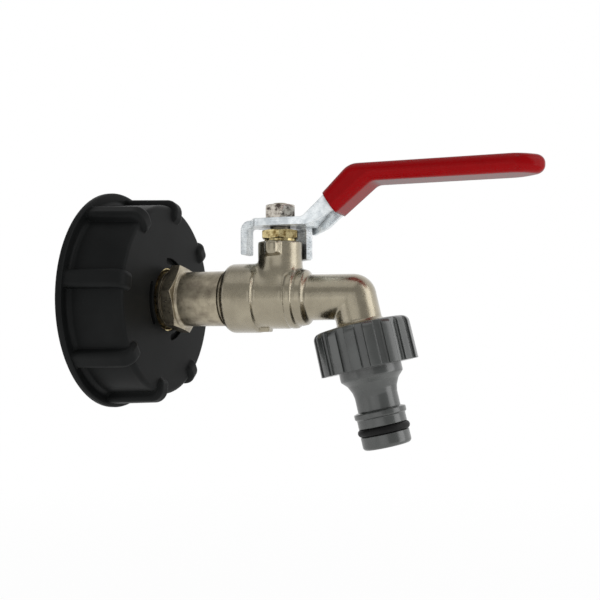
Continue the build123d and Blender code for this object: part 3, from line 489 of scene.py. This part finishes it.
class TANKVALVE_OT_finishes(bpy.types.Operator):
    """Give every CAD node the material of its slot"""
    bl_idname = "tankvalve.finishes"
    bl_label = "Finishes"

    def execute(self, context):
        for part in frame["record"]["subparts"]:
            node = NODES[part["node"]]
            node.data.materials.clear()
            node.data.materials.append(finish_of(part["material_slot"]))
        # This nut is shinier than the body in the photograph.
        NODES["lever_nut"].data.materials[0] = finish_of("nickel_bright")
        return {"FINISHED"}


def merged_copy(node):
    """The node's mesh as a bmesh with its loose triangles joined."""
    bm = bmesh.new()
    bm.from_mesh(node.data)
    bmesh.ops.remove_doubles(bm, verts=bm.verts, dist=WELD)
    return bm


def new_piece(name, bm, body, slot):
    """A smooth-shaded piece from a bmesh, riding on a body with a slot's finish."""
    for face in bm.faces:
        face.smooth = True
    mesh = bpy.data.meshes.new(name)
    bm.to_mesh(mesh)
    bm.free()
    piece = bpy.data.objects.new(name, mesh)
    bpy.context.scene.collection.objects.link(piece)
    mesh.materials.append(finish_of(slot))
    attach(piece, body)
    return piece


def evened(bm, cell):
    """The closed shape skinned again in even cells, which rounds its edges by a cell."""
    mesh = bpy.data.meshes.new("rough_skin")
    bm.to_mesh(mesh)
    bm.free()
    rough = bpy.data.objects.new("rough_skin", mesh)
    bpy.context.scene.collection.objects.link(rough)
    skin = rough.modifiers.new("even", "REMESH")
    skin.mode = "VOXEL"
    skin.voxel_size = cell
    solved = rough.evaluated_get(bpy.context.evaluated_depsgraph_get())
    even = bpy.data.meshes.new_from_object(solved)
    bpy.data.objects.remove(rough)
    bm = bmesh.new()
    bm.from_mesh(even)
    bpy.data.meshes.remove(even)
    bpy.data.meshes.remove(mesh)
    return bm


def smooth(bm, verts, rounds):
    """Moves each vertex half way to its neighbours' middle, round after round."""
    for _ in range(rounds):
        bmesh.ops.smooth_vert(
            bm, verts=verts, factor=0.5, use_axis_x=True, use_axis_y=True, use_axis_z=True)


def neck_foot(bm, width):
    """The outer skin round the neck's foot, short of the groove beside it."""
    found = []
    for vert in bm.verts:
        x, y, z = vert.co / MM
        beside = Vector((x - STEM_X, y)).length
        outside = Vector((y, z)).length > CHAMBER_SKIN
        near = NECK_R - MARGIN < beside < NECK_R + width and x < GROOVE_X
        if outside and near and NECK_FOOT[0] - width < z < NECK_FOOT[1] + width:
            found.append(vert)
    return found


def stop_lugs(bm):
    """The skin of the stop lugs, clear of the neck's own wall."""
    found = []
    for vert in bm.verts:
        x, y, z = vert.co / MM
        if abs(x - STEM_X) < LUG_REACH and LUG_SKIN < abs(y) and z > LUG_FOOT:
            found.append(vert)
    return found


def along_spout(point):
    """How far a point lies along the spout's axis, and its offset from that axis."""
    way = Vector(SPOUT_AXIS)
    arm = point - Vector((ELBOW_X * MM, 0, 0))
    reach = arm.dot(way)
    return reach, arm - way * reach


class TANKVALVE_OT_cast_body(bpy.types.Operator):
    """The cast body: soft edges, and the neck blended into the chamber"""
    bl_idname = "tankvalve.cast_body"
    bl_label = "Cast body"

    def execute(self, context):
        settings = context.scene.tank_valve
        bm = evened(merged_copy(NODES["valve_body"]), settings.cast_cell)
        smooth(bm, bm.verts, 1)
        # The wider zone gets a quarter of the rounds, so that the blend fades out.
        smooth(bm, neck_foot(bm, FOOT_WIDE), settings.foot_blend // 4)
        smooth(bm, neck_foot(bm, FOOT_TIGHT), settings.foot_blend)
        smooth(bm, stop_lugs(bm), settings.lug_wear)
        # The thread's wall goes down to the root radius, so that the ridge stands on it.
        root = settings.spout_radius - WALL_DEPTH * settings.spout_pitch
        for vert in bm.verts:
            reach, off = along_spout(vert.co)
            if SPOUT_THREAD[0] < reach / MM < SPOUT_THREAD[1] + MARGIN and off.length > root:
                vert.co -= off * (1 - root / off.length)
        piece = new_piece("body_casting", bm, "valve", "nickel_cast")
        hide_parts("valve_body")
        return {"FINISHED"}


def helix_ridge(profile, pitch, length, steps):
    """A closed thread ridge about +Z from z = 0: its profile spun up a right-hand helix."""
    bm = bmesh.new()
    face = bm.faces.new([bm.verts.new((r, 0, z)) for r, z in profile])
    turns = length / pitch
    count = round(turns * steps)
    bmesh.ops.spin(
        bm, geom=[face], cent=(0, 0, 0), axis=(0, 0, 1), dvec=(0, 0, length / count),
        angle=2 * pi * turns, steps=count)
    bmesh.ops.remove_doubles(bm, verts=bm.verts, dist=WELD)
    bmesh.ops.recalc_face_normals(bm, faces=bm.faces)
    return bm


class TANKVALVE_OT_spout_thread(bpy.types.Operator):
    """The pipe thread that the tap connector screws onto"""
    bl_idname = "tankvalve.spout_thread"
    bl_label = "Spout thread"

    def execute(self, context):
        settings = context.scene.tank_valve
        crest, pitch = settings.spout_radius, settings.spout_pitch
        root = crest - SPOUT_DEPTH * pitch
        half, tip = SPOUT_HALF_FOOT * pitch, SPOUT_HALF_CREST * pitch
        profile = [(root, -half), (crest, -tip), (crest, tip), (root, half)]
        reach = SPOUT_THREAD[0] * MM + half + RUN_OUT
        length = (SPOUT_THREAD[1] - SPOUT_THREAD[0]) * MM - 2 * half - 2 * RUN_OUT
        bm = helix_ridge(profile, pitch, length, SPOUT_STEPS)
        start = Vector((ELBOW_X * MM, 0, 0)) + Vector(SPOUT_AXIS) * reach
        turn = Vector(SPOUT_AXIS).to_track_quat("Z", "Y").to_matrix().to_4x4()
        bmesh.ops.transform(bm, matrix=Matrix.Translation(start) @ turn, verts=bm.verts)
        new_piece("spout_thread", bm, "valve", "nickel")
        return {"FINISHED"}


class TANKVALVE_OT_cap_thread(bpy.types.Operator):
    """The coarse thread inside the tank cap"""
    bl_idname = "tankvalve.cap_thread"
    bl_label = "Cap thread"

    def execute(self, context):
        settings = context.scene.tank_valve
        wall, pitch = settings.cap_radius, settings.cap_pitch
        crest, foot = wall - CAP_DEPTH * pitch, wall + SINK
        half, tip = CAP_HALF_FOOT * pitch, CAP_HALF_CREST * pitch
        profile = [(foot, -half), (crest, -tip), (crest, tip), (foot, half)]
        length = (CAP_THREAD[1] - CAP_THREAD[0]) * MM - 2 * half
        bm = helix_ridge(profile, pitch, length, CAP_STEPS)
        turn = Vector((1, 0, 0)).to_track_quat("Z", "Y").to_matrix().to_4x4()
        start = Matrix.Translation((CAP_THREAD[0] * MM + half, 0, 0))
        bmesh.ops.transform(bm, matrix=start @ turn, verts=bm.verts)
        new_piece("cap_thread", bm, "valve", "black_pp")
        return {"FINISHED"}


class TANKVALVE_OT_stage(bpy.types.Operator):
    """Floor, world, lamps and the camera of the photograph"""
    bl_idname = "tankvalve.stage"
    bl_label = "Stage"

    def execute(self, context):
        build_floor(context.scene.tank_valve.floor_drop)
        build_world()
        for lamp in SOFTBOXES:
            softbox(*lamp)
        build_camera()
        context.scene.view_settings.view_transform = "Standard"
        return {"FINISHED"}


def build_floor(drop):
    """Pale floor: near white to the camera, with a soft shadow, and bright to undersides."""
    bm = bmesh.new()
    bmesh.ops.create_grid(bm, x_segments=2, y_segments=2, size=FLOOR_HALF)
    bmesh.ops.translate(bm, verts=bm.verts, vec=(0, 0, -drop))
    mesh = bpy.data.meshes.new("floor")
    bm.to_mesh(mesh)
    bm.free()
    floor = bpy.data.objects.new("floor", mesh)
    bpy.context.scene.collection.objects.link(floor)
    material, tree, place = blank("painted_board_white")
    paths = put(tree, "ShaderNodeLightPath")
    away = put(tree, "ShaderNodeVectorMath", {0: place}, operation="LENGTH")
    fade = put(tree, "ShaderNodeMapRange", {
        "Value": away.outputs["Value"], "From Min": SHADOW_REACH[0],
        "From Max": SHADOW_REACH[1], "To Min": SHADOW_CLEAR, "To Max": 1.0})
    shown = put(tree, "ShaderNodeMath", {
        0: paths.outputs["Is Camera Ray"], 1: fade.outputs["Result"]}, operation="MULTIPLY")
    mirrored = put(tree, "ShaderNodeMath", {
        0: paths.outputs["Is Glossy Ray"], 1: FLOOR_GLOSS}, operation="MULTIPLY")
    seen = put(tree, "ShaderNodeMath", {
        0: shown.outputs[0], 1: mirrored.outputs[0]}, operation="MAXIMUM")
    bounced = paths.outputs["Is Diffuse Ray"]
    lit = put(tree, "ShaderNodeMath", {0: seen.outputs[0], 1: bounced}, operation="MAXIMUM")
    power = put(tree, "ShaderNodeMath", {
        0: bounced, 1: FLOOR_BOUNCE - 1.0, 2: 1.0}, operation="MULTIPLY_ADD")
    matt = put(tree, "ShaderNodeBsdfDiffuse", {"Color": linear("#f4f4f3")})
    glow = put(tree, "ShaderNodeEmission", {"Color": grey(1.0), "Strength": power.outputs[0]})
    mix = put(tree, "ShaderNodeMixShader", {
        0: lit.outputs[0], 1: matt.outputs[0], 2: glow.outputs[0]})
    put(tree, "ShaderNodeOutputMaterial", {"Surface": mix.outputs[0]})
    mesh.materials.append(material)


def build_world():
    """White to the camera and to glass, softer as light, half a dark room to gloss."""
    world = bpy.data.worlds.new("studio")
    world.use_nodes = True
    tree = world.node_tree
    tree.nodes.clear()
    paths = put(tree, "ShaderNodeLightPath")
    # The backdrop is white all round to the camera; gloss sees it only behind the valve,
    # and a darker room on the camera's side.
    way = put(tree, "ShaderNodeTexCoord").outputs["Generated"]
    toward = put(tree, "ShaderNodeVectorMath", {
        0: way, 1: BACKDROP_WAY}, operation="DOT_PRODUCT")
    room = put(tree, "ShaderNodeMapRange", {
        "Value": toward.outputs["Value"], "From Min": BACKDROP_EDGE[0],
        "From Max": BACKDROP_EDGE[1], "To Min": ROOM_LEVEL, "To Max": 1.0})
    gloss = put(tree, "ShaderNodeMath", {
        0: paths.outputs["Is Glossy Ray"], 1: room.outputs["Result"]}, operation="MULTIPLY")
    plain = put(tree, "ShaderNodeMath", {
        0: paths.outputs["Is Camera Ray"],
        1: paths.outputs["Is Transmission Ray"]}, operation="MAXIMUM")
    light = put(tree, "ShaderNodeMath", {
        0: paths.outputs["Is Diffuse Ray"], 1: ROOM_LIGHT}, operation="MULTIPLY")
    seen = put(tree, "ShaderNodeMath", {
        0: plain.outputs[0], 1: gloss.outputs[0]}, operation="MAXIMUM")
    level = put(tree, "ShaderNodeMath", {
        0: seen.outputs[0], 1: light.outputs[0]}, operation="MAXIMUM")
    mix = put(tree, "ShaderNodeBackground", {"Color": grey(1.0), "Strength": level.outputs[0]})
    put(tree, "ShaderNodeOutputWorld", {"Surface": mix.outputs[0]})
    bpy.context.scene.world = world


def softbox(name, place, target, width, height, power):
    """A soft rectangular lamp that faces its target."""
    lamp = bpy.data.lights.new(name, "AREA")
    lamp.shape = "RECTANGLE"
    lamp.size = width
    lamp.size_y = height
    lamp.energy = power
    holder = bpy.data.objects.new(name, lamp)
    holder.location = place
    aim = Vector(target) - Vector(place)
    holder.rotation_euler = aim.to_track_quat("-Z", "Y").to_euler()
    bpy.context.scene.collection.objects.link(holder)


def build_camera():
    """Camera fitted to the photograph: close, a little below the valve's axis."""
    camera = bpy.data.cameras.new("camera")
    camera.sensor_width = 36.0
    camera.lens = LENS
    camera.clip_start = 0.01
    holder = bpy.data.objects.new("camera", camera)
    ahead = Vector(CAMERA_AHEAD).normalized()
    side = ahead.cross(Vector(CAMERA_UP)).normalized()
    up = side.cross(ahead)
    turn = Matrix((side, up, -ahead)).transposed().to_4x4()
    holder.matrix_world = Matrix.Translation(CAMERA_PLACE) @ turn
    bpy.context.scene.collection.objects.link(holder)
    bpy.context.scene.camera = holder


class TANKVALVE_PT_panel(bpy.types.Panel):
    """Sizes and build steps of the tank valve"""
    bl_idname = "TANKVALVE_PT_panel"
    bl_label = "Tank valve"
    bl_space_type = "VIEW_3D"
    bl_region_type = "UI"
    bl_category = "Tank valve"

    def draw(self, context):
        settings = context.scene.tank_valve
        for name in TankValveSettings.__annotations__:
            self.layout.prop(settings, name)
        for operator in OPERATORS:
            self.layout.operator(operator.bl_idname)


OPERATORS = (
    TANKVALVE_OT_finishes, TANKVALVE_OT_cast_body, TANKVALVE_OT_spout_thread,
    TANKVALVE_OT_cap_thread, TANKVALVE_OT_stage)
CLASSES = (TankValveSettings, *OPERATORS, TANKVALVE_PT_panel)


def register():
    for cls in CLASSES:
        bpy.utils.register_class(cls)
    bpy.types.Scene.tank_valve = PointerProperty(type=TankValveSettings)


def unregister():
    del bpy.types.Scene.tank_valve
    for cls in reversed(CLASSES):
        bpy.utils.unregister_class(cls)


def main():
    register()
    bpy.ops.tankvalve.finishes()
    bpy.ops.tankvalve.cast_body()
    bpy.ops.tankvalve.spout_thread()
    bpy.ops.tankvalve.cap_thread()
    bpy.ops.tankvalve.stage()


if __name__ == "__main__":
    main()
